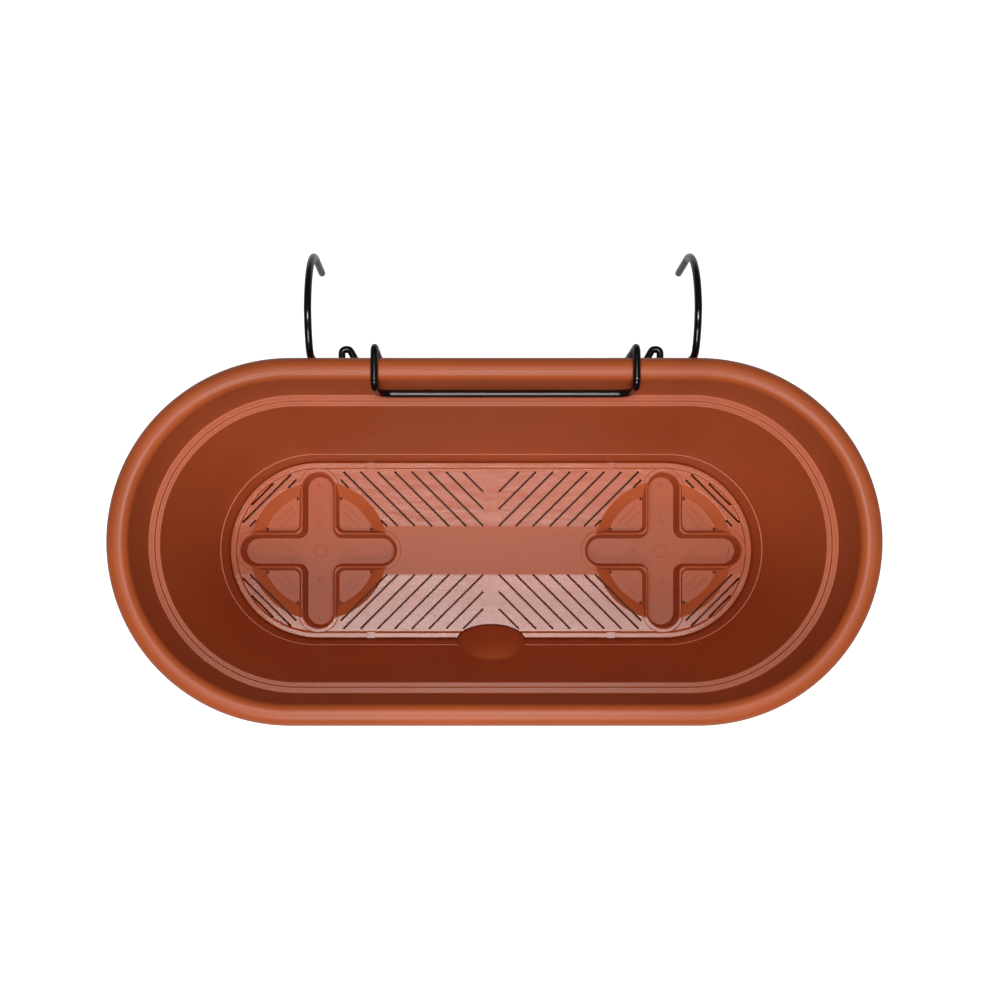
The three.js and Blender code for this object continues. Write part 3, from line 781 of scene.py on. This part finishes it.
def wire_rings(corners, radius, sides, spacing):
    """Round section carried along a path of straight runs and circular bends.

    In a bend the tangent and the section's first axis turn together about the bend's own axis, so the
    section never twists: v cos t + (k x v) sin t + k (k . v)(1 - cos t) for an axis k.
    """
    start = corners[0][0]
    tangent = corners[1][0] - start
    tangent = tangent / np.linalg.norm(tangent)
    side = np.cross(tangent, [1.0, 0, 0])
    side = side / np.linalg.norm(side)
    places, tangents, sides_at = [start[None, :]], [tangent[None, :]], [side[None, :]]
    for index in range(1, len(corners) - 1):
        at, bend = corners[index]
        ahead = corners[index + 1][0] - at
        ahead = ahead / np.linalg.norm(ahead)
        turn = math.acos(float(np.clip(tangent @ ahead, -1, 1)))
        axis = np.cross(tangent, ahead)
        axis = axis / np.linalg.norm(axis)
        enter = at - tangent * bend * math.tan(turn / 2)
        inward = np.cross(axis, tangent)
        centre = enter + inward * bend
        steps = max(4, int(bend * turn / spacing))
        t = np.linspace(0, turn, steps + 1)[:, None]
        turned = lambda v: v * np.cos(t) + np.cross(axis, v) * np.sin(t) + axis * (axis @ v) * (1 - np.cos(t))
        places.append(centre + turned(-inward * bend))
        tangents.append(turned(tangent))
        sides_at.append(turned(side))
        tangent = ahead
        side = sides_at[-1][-1]
    places.append(corners[-1][0][None, :])
    tangents.append(tangent[None, :])
    sides_at.append(side[None, :])
    place = np.concatenate(places)
    along = np.concatenate(tangents)
    first = np.concatenate(sides_at)
    second = np.cross(along, first)
    chamfer = 0.5 * MM
    place = np.concatenate([place[:1], place[:1] + along[:1] * chamfer, place[1:-1],
                            place[-1:] - along[-1:] * chamfer, place[-1:]])
    first = np.concatenate([first[:1], first, first[-1:]])
    second = np.concatenate([second[:1], second, second[-1:]])
    size = np.full(len(place), radius)
    size[[0, -1]] = radius - chamfer
    round_turn = np.linspace(0, 2 * np.pi, sides, endpoint=False)[None, :, None]
    ring = first[:, None, :] * np.cos(round_turn) + second[:, None, :] * np.sin(round_turn)
    return place[:, None, :] + ring * size[:, None, None]


class PLANTER_OT_hanger(bpy.types.Operator):
    """Make the bent wire hanger with its two rail hooks"""

    bl_idname = "planter.hanger"
    bl_label = "Rail hanger"

    def execute(self, context):
        sizes = context.scene.planter_wire
        corners = hanger_corners(context, -1) + hanger_corners(context, 1)[::-1]
        hanger = loft("rail_hanger_wire", wire_rings(corners, sizes.diameter / 2, 28, 0.9 * MM))
        smooth(hanger, 40)
        paint(hanger, wire_coating(context.scene.planter_finish.wire))
        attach(hanger, "hanger")
        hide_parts(WIRE_NODE)
        return {"FINISHED"}


# ---------------------------------------------------------------- materials

class Nodes:
    """Short way to add nodes to a tree and join them."""

    def __init__(self, tree):
        self.tree = tree

    def add(self, kind, **values):
        node = self.tree.nodes.new(kind)
        for key, value in values.items():
            if hasattr(node, key):
                setattr(node, key, value)
            else:
                node.inputs[key.replace("_", " ")].default_value = value
        return node

    def join(self, output, entry):
        self.tree.links.new(output, entry)


def moulded_group():
    """Shader group of moulded plastic: a fine grain, a slow ripple and slightly uneven colour."""
    name = "moulded_plastic"
    if name in bpy.data.node_groups:
        return bpy.data.node_groups[name]
    tree = bpy.data.node_groups.new(name, "ShaderNodeTree")
    sockets = tree.interface
    for label, kind, default in (
        ("Coordinate", "NodeSocketVector", None), ("Grain Scale", "NodeSocketFloat", 900.0),
        ("Ripple Scale", "NodeSocketFloat", 18.0), ("Ripple Share", "NodeSocketFloat", 0.6),
    ):
        socket = sockets.new_socket(label, in_out="INPUT", socket_type=kind)
        if default is not None:
            socket.default_value = default
    for label in ("Height", "Cloud", "Specks"):
        sockets.new_socket(label, in_out="OUTPUT", socket_type="NodeSocketFloat")
    n = Nodes(tree)
    entry = n.add("NodeGroupInput")
    leave = n.add("NodeGroupOutput")
    grain = n.add("ShaderNodeTexNoise", Detail=3.0, Roughness=0.6)
    ripple = n.add("ShaderNodeTexNoise", Detail=2.0, Roughness=0.45, Distortion=0.3)
    cloud = n.add("ShaderNodeTexNoise", Scale=9.0, Detail=5.0, Roughness=0.6)
    speck = n.add("ShaderNodeTexNoise", Scale=420.0, Detail=2.0, Roughness=0.7)
    for node in (grain, ripple, cloud, speck):
        n.join(entry.outputs["Coordinate"], node.inputs["Vector"])
    n.join(entry.outputs["Grain Scale"], grain.inputs["Scale"])
    n.join(entry.outputs["Ripple Scale"], ripple.inputs["Scale"])
    mix = n.add("ShaderNodeMix", data_type="FLOAT")
    n.join(entry.outputs["Ripple Share"], mix.inputs[0])
    n.join(grain.outputs["Fac"], mix.inputs[2])
    n.join(ripple.outputs["Fac"], mix.inputs[3])
    n.join(mix.outputs[0], leave.inputs["Height"])
    n.join(cloud.outputs["Fac"], leave.inputs["Cloud"])
    pick = n.add("ShaderNodeMapRange")
    pick.inputs["From Min"].default_value = 0.66
    pick.inputs["From Max"].default_value = 0.74
    n.join(speck.outputs["Fac"], pick.inputs["Value"])
    n.join(pick.outputs["Result"], leave.inputs["Specks"])
    return tree


def scaled(rgb, factor):
    """A linear colour made lighter or darker, with full opacity."""
    return (*[min(1.0, channel * factor) for channel in rgb], 1.0)


def plastic(name, rgb, roughness, spread, stretch, ripple_scale, ripple_share, bump, specular, coat):
    """Terracotta plastic: cloudy colour, pale specks, uneven gloss and a rippled, grained surface."""
    material = bpy.data.materials.new(name)
    material.use_nodes = True
    tree = material.node_tree
    n = Nodes(tree)
    shader = tree.nodes["Principled BSDF"]
    shader.inputs["Specular IOR Level"].default_value = specular
    shader.inputs["Coat Weight"].default_value = coat
    shader.inputs["Coat Roughness"].default_value = 0.12
    place = n.add("ShaderNodeTexCoord")
    mapping = n.add("ShaderNodeMapping")
    mapping.inputs["Scale"].default_value = stretch
    n.join(place.outputs["Object"], mapping.inputs["Vector"])
    group = n.add("ShaderNodeGroup")
    group.node_tree = moulded_group()
    n.join(mapping.outputs["Vector"], group.inputs["Coordinate"])
    group.inputs["Ripple Scale"].default_value = ripple_scale
    group.inputs["Ripple Share"].default_value = ripple_share
    ramp = n.add("ShaderNodeValToRGB")
    ramp.color_ramp.elements[0].position = 0.3
    ramp.color_ramp.elements[0].color = scaled(rgb, 0.9)
    ramp.color_ramp.elements[1].position = 0.72
    ramp.color_ramp.elements[1].color = scaled(rgb, 1.1)
    n.join(group.outputs["Cloud"], ramp.inputs["Fac"])
    tint = n.add("ShaderNodeMix", data_type="RGBA")
    tint.inputs[7].default_value = scaled((0.62, 0.27, 0.16), 1.0)
    share = n.add("ShaderNodeMath", operation="MULTIPLY")
    share.inputs[1].default_value = 0.22
    n.join(group.outputs["Specks"], share.inputs[0])
    n.join(share.outputs[0], tint.inputs[0])
    n.join(ramp.outputs["Color"], tint.inputs[6])
    n.join(tint.outputs[2], shader.inputs["Base Color"])
    gloss = n.add("ShaderNodeMapRange")
    gloss.inputs["To Min"].default_value = roughness - spread
    gloss.inputs["To Max"].default_value = roughness + spread
    n.join(group.outputs["Cloud"], gloss.inputs["Value"])
    n.join(gloss.outputs["Result"], shader.inputs["Roughness"])
    relief = n.add("ShaderNodeBump")
    relief.inputs["Strength"].default_value = 1.0
    relief.inputs["Distance"].default_value = bump
    n.join(group.outputs["Height"], relief.inputs["Height"])
    n.join(relief.outputs["Normal"], shader.inputs["Normal"])
    return material


def zone_gloss(material, half_strip, top):
    """Makes the false bottom smooth and duller on its middle strip and in its pockets and wells, and
    leaves the ripple and a wet gloss to the slotted fields of the upper face."""
    tree = material.node_tree
    n = Nodes(tree)
    shader = tree.nodes["Principled BSDF"]
    place = n.add("ShaderNodeTexCoord")
    split = n.add("ShaderNodeSeparateXYZ")
    n.join(place.outputs["Object"], split.inputs["Vector"])
    field = n.add("ShaderNodeMath", operation="MULTIPLY")
    for entry, (axis, inner, outer) in enumerate((
        ("Y", half_strip - 0.5 * MM, half_strip + 1.5 * MM),
        ("Z", top - 1.2 * MM, top - 0.3 * MM),
    )):
        side = n.add("ShaderNodeMath", operation="ABSOLUTE")
        n.join(split.outputs[axis], side.inputs[0])
        beyond = n.add("ShaderNodeMapRange")
        beyond.inputs["From Min"].default_value = inner
        beyond.inputs["From Max"].default_value = outer
        n.join(side.outputs[0], beyond.inputs["Value"])
        n.join(beyond.outputs["Result"], field.inputs[entry])
    even = shader.inputs["Roughness"].links[0].from_socket
    gloss = n.add("ShaderNodeMix", data_type="FLOAT")
    dull = n.add("ShaderNodeMath", operation="ADD")
    dull.inputs[1].default_value = 0.20
    n.join(even, dull.inputs[0])
    n.join(field.outputs[0], gloss.inputs[0])
    n.join(dull.outputs[0], gloss.inputs[2])
    n.join(even, gloss.inputs[3])
    n.join(gloss.outputs[0], shader.inputs["Roughness"])
    relief = shader.inputs["Normal"].links[0].from_node
    strength = n.add("ShaderNodeMapRange")
    strength.inputs["To Min"].default_value = 0.3
    n.join(field.outputs[0], strength.inputs["Value"])
    wet = n.add("ShaderNodeMath", operation="MULTIPLY")
    wet.inputs[1].default_value = 0.16
    n.join(field.outputs[0], wet.inputs[0])
    n.join(wet.outputs[0], shader.inputs["Coat Weight"])
    n.join(strength.outputs["Result"], relief.inputs["Strength"])
    return material


def pot_plastic(rgb):
    """Satin plastic of the pot."""
    return plastic("pot_plastic", rgb, 0.40, 0.08, (1, 1, 1), 26.0, 0.7, 0.00012, 0.36, 0.0)


def grid_plastic(rgb, half_strip, top):
    """Glossier plastic of the false bottom, rippled along its length where it cooled unevenly."""
    material = plastic("grid_plastic", rgb, 0.24, 0.07, (0.45, 1.6, 1), 60.0, 0.85, 0.0006, 0.32, 0.0)
    return zone_gloss(material, half_strip, top)


def wire_coating(rgb):
    """Black coating of the wire: glossy, a little wavy, with duller dusty patches."""
    material = bpy.data.materials.new("black_wire")
    material.use_nodes = True
    tree = material.node_tree
    n = Nodes(tree)
    shader = tree.nodes["Principled BSDF"]
    place = n.add("ShaderNodeTexCoord")
    group = n.add("ShaderNodeGroup")
    group.node_tree = moulded_group()
    group.inputs["Grain Scale"].default_value = 700.0
    group.inputs["Ripple Scale"].default_value = 160.0
    group.inputs["Ripple Share"].default_value = 0.8
    n.join(place.outputs["Object"], group.inputs["Coordinate"])
    ramp = n.add("ShaderNodeValToRGB")
    ramp.color_ramp.elements[0].color = scaled(rgb, 0.8)
    ramp.color_ramp.elements[1].color = scaled(rgb, 2.2)
    n.join(group.outputs["Cloud"], ramp.inputs["Fac"])
    n.join(ramp.outputs["Color"], shader.inputs["Base Color"])
    gloss = n.add("ShaderNodeMapRange")
    gloss.inputs["To Min"].default_value = 0.10
    gloss.inputs["To Max"].default_value = 0.22
    n.join(group.outputs["Cloud"], gloss.inputs["Value"])
    n.join(gloss.outputs["Result"], shader.inputs["Roughness"])
    relief = n.add("ShaderNodeBump")
    relief.inputs["Distance"].default_value = 0.0001
    n.join(group.outputs["Height"], relief.inputs["Height"])
    n.join(relief.outputs["Normal"], shader.inputs["Normal"])
    return material


def floor_paint(rgb):
    """Pale floor that stays white to the eye but keeps the planter's shadow."""
    material = bpy.data.materials.new("floor_paint")
    material.use_nodes = True
    tree = material.node_tree
    n = Nodes(tree)
    shader = tree.nodes["Principled BSDF"]
    shader.inputs["Base Color"].default_value = (*rgb, 1)
    shader.inputs["Roughness"].default_value = 0.9
    shader.inputs["Specular IOR Level"].default_value = 0.0
    shader.inputs["Emission Color"].default_value = (1, 1, 1, 1)
    rays = n.add("ShaderNodeLightPath")
    lift = n.add("ShaderNodeMath", operation="MULTIPLY")
    lift.inputs[1].default_value = 0.75
    n.join(rays.outputs["Is Camera Ray"], lift.inputs[0])
    n.join(lift.outputs[0], shader.inputs["Emission Strength"])
    return material


# ---------------------------------------------------------------- stage

def area_light(name, place, aim, size, power):
    """Soft rectangular lamp at a place, turned towards a point."""
    data = bpy.data.lights.new(name, "AREA")
    data.shape = "RECTANGLE"
    data.size, data.size_y = size
    data.energy = power
    lamp = bpy.data.objects.new(name, data)
    lamp.location = place
    direction = np.array(aim) - np.array(place)
    flat = math.hypot(direction[0], direction[1])
    heading = math.atan2(direction[1], direction[0]) - math.pi / 2
    lamp.rotation_euler = (math.atan2(flat, -direction[2]), 0, heading)
    bpy.context.scene.collection.objects.link(lamp)
    return lamp


class PLANTER_OT_stage(bpy.types.Operator):
    """Set the camera above the planter, with a pale floor and soft studio light"""

    bl_idname = "planter.stage"
    bl_label = "Stage"

    def execute(self, context):
        scene = context.scene
        floor = mesh_object("floor", [(-4, -4, 0), (4, -4, 0), (4, 4, 0), (-4, 4, 0)], [(0, 1, 2, 3)])
        paint(floor, floor_paint(scene.planter_finish.floor))
        rim_z = POT_HIGH[2]
        camera = bpy.data.cameras.new("camera")
        camera.sensor_width = 36
        camera.lens = 46.96
        camera.shift_x = 0.0276
        camera.shift_y = 0.096
        eye = bpy.data.objects.new("camera", camera)
        eye.location = (-0.017, -0.0418, rim_z + 1.0)
        scene.collection.objects.link(eye)
        scene.camera = eye
        area_light("strip_back", (0.0, 0.30, 1.9), (0.0, 0.05, 0.0), (1.0, 0.16), 2.4)
        area_light("strip_front", (0.0, -0.14, 1.9), (0.0, -0.05, 0.0), (1.0, 0.14), 10.5)
        area_light("strip_left", (-0.205, 0.0, 1.9), (-0.09, 0.0, 0.0), (0.07, 0.34), 2.2)
        area_light("strip_right", (0.171, 0.0, 1.9), (0.056, 0.0, 0.0), (0.07, 0.34), 2.2)
        area_light("softbox_front", (-0.10, -1.1, 1.75), (0, 0.05, 0.15), (0.9, 0.6), 17.5)
        world = bpy.data.worlds.new("studio")
        world.use_nodes = True
        back = world.node_tree.nodes["Background"]
        n = Nodes(world.node_tree)
        rays = n.add("ShaderNodeLightPath")
        mirrored = n.add("ShaderNodeMapRange")
        mirrored.inputs["To Min"].default_value = 0.05
        mirrored.inputs["To Max"].default_value = 0.08
        n.join(rays.outputs["Is Glossy Ray"], mirrored.inputs["Value"])
        level = n.add("ShaderNodeMix", data_type="FLOAT")
        level.inputs[3].default_value = 1.0
        n.join(rays.outputs["Is Camera Ray"], level.inputs[0])
        n.join(mirrored.outputs["Result"], level.inputs[2])
        n.join(level.outputs[0], back.inputs["Strength"])
        back.inputs["Color"].default_value = (1, 1, 1, 1)
        scene.world = world
        scene.view_settings.view_transform = "Standard"
        return {"FINISHED"}


class PLANTER_PT_panel(bpy.types.Panel):
    """Sidebar panel with the planter's pieces"""

    bl_idname = "PLANTER_PT_panel"
    bl_label = "Self watering planter"
    bl_space_type = "VIEW_3D"
    bl_region_type = "UI"
    bl_category = "Planter"

    def draw(self, context):
        for operator in OPERATORS:
            self.layout.operator(operator.bl_idname)


GROUPS = {
    "planter_pot": PotSizes, "planter_grid": GridSizes, "planter_wire": WireSizes,
    "planter_finish": Finishes,
}
OPERATORS = (PLANTER_OT_pot, PLANTER_OT_grid, PLANTER_OT_hanger, PLANTER_OT_stage)


def register():
    """Registers the size groups, the operators and the panel."""
    for name, group in GROUPS.items():
        bpy.utils.register_class(group)
        setattr(bpy.types.Scene, name, bpy.props.PointerProperty(type=group))
    for entry in (*OPERATORS, PLANTER_PT_panel):
        bpy.utils.register_class(entry)


def unregister():
    """Takes back what register added."""
    for entry in (PLANTER_PT_panel, *reversed(OPERATORS)):
        bpy.utils.unregister_class(entry)
    for name, group in GROUPS.items():
        delattr(bpy.types.Scene, name)
        bpy.utils.unregister_class(group)


def main():
    """Builds every piece and the stage."""
    register()
    bpy.ops.planter.pot()
    bpy.ops.planter.grid()
    bpy.ops.planter.hanger()
    bpy.ops.planter.stage()


if __name__ == "__main__":
    main()
